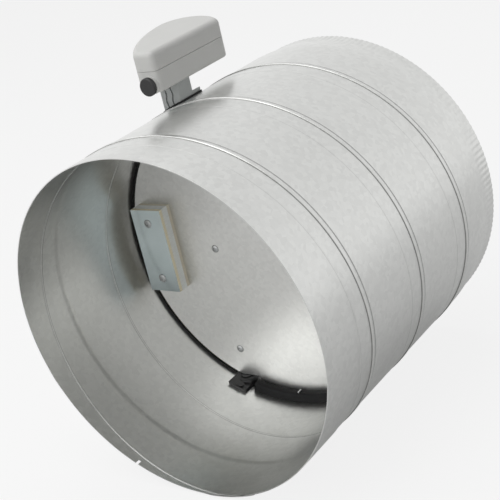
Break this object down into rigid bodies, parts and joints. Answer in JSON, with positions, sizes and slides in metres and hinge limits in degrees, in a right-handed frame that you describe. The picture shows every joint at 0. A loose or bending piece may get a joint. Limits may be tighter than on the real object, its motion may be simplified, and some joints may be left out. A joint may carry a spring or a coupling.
{
  "type": "round bypass damper",
  "caption": "Round spiral-seam duct section with a sprung off-centre blade, balancing weight and setting head; air pressure pushes the blade open to let surplus air through.",
  "frame": {"origin": "middle of the plain end's mouth, on the duct's axis", "axes": "+Y along the duct towards the crimped outlet, +Z along the blade's shaft towards the head, +X towards the long side of the blade"},
  "size_m": [0.307, 0.318, 0.3525],
  "materials": {
    "galvanised": "spangled zinc, satin",
    "blade_zinc": "spangled zinc, satin",
    "weight_zinc": "bright zinc with yellow passivated edges",
    "fastener_zinc": "bright zinc plated",
    "shaft_steel": "drawn bar",
    "spring_steel": "drawn wire",
    "black_foam": "closed-cell foam, matt",
    "black_plastic": "moulded, fine grain",
    "head_grey": "moulded, fine grain",
    "post_grey": "moulded, fine grain"
  },
  "bodies": {
    "duct": {"duct_tube": "galvanised", "front_gasket": "black_foam", "rear_gasket": "black_foam", "gasket_staples": "fastener_zinc", "lower_bearing": "black_plastic", "upper_bearing": "black_plastic", "bearing_rivets": "fastener_zinc", "post_seal": "black_foam", "standoff_post": "post_grey", "post_screw": "fastener_zinc", "housing_base": "head_grey", "housing_cover": "head_grey", "base_screws": "fastener_zinc", "cover_screws": "fastener_zinc"},
    "blade": {"blade_disc": "blade_zinc", "blade_shaft": "shaft_steel", "blade_rivets": "fastener_zinc", "counterweight_plate_1": "weight_zinc", "counterweight_plate_2": "weight_zinc", "counterweight_plate_3": "weight_zinc", "counterweight_plate_4": "weight_zinc", "counterweight_screws": "fastener_zinc", "counterweight_nuts": "fastener_zinc", "spring_lever": "fastener_zinc", "lever_pin": "fastener_zinc", "lever_screw": "fastener_zinc"},
    "knob": {"setting_knob": "black_plastic", "adjusting_screw": "fastener_zinc", "thrust_washer": "fastener_zinc"},
    "slide": {"spring_slide": "fastener_zinc", "tension_spring": "spring_steel"}
  },
  "joints": [
    {"name": "blade_hinge", "type": "hinge", "parent": "duct", "child": "blade", "pos_m": [-0.0574, 0.159, 0], "axis": [0, 0, 1], "range_deg": [0, 50], "stiffness_Nm_per_rad": 0.3, "springref_deg": -45.84, "deforming": ["tension_spring"]},
    {"name": "knob_turn", "type": "hinge", "parent": "duct", "child": "knob", "pos_m": [-0.0544, 0.124, 0.16962], "axis": [0, 1, 0], "range_deg": [0, 1440]},
    {"name": "slide_travel", "type": "slide", "parent": "duct", "child": "slide", "axis": [0, 1, 0], "range_m": [0, 0.006], "deforming": ["tension_spring"]}
  ],
  "couplings": [
    {"joint": "knob_turn", "follows": "slide_travel", "rad_per_m": 4188.8}
  ]
}
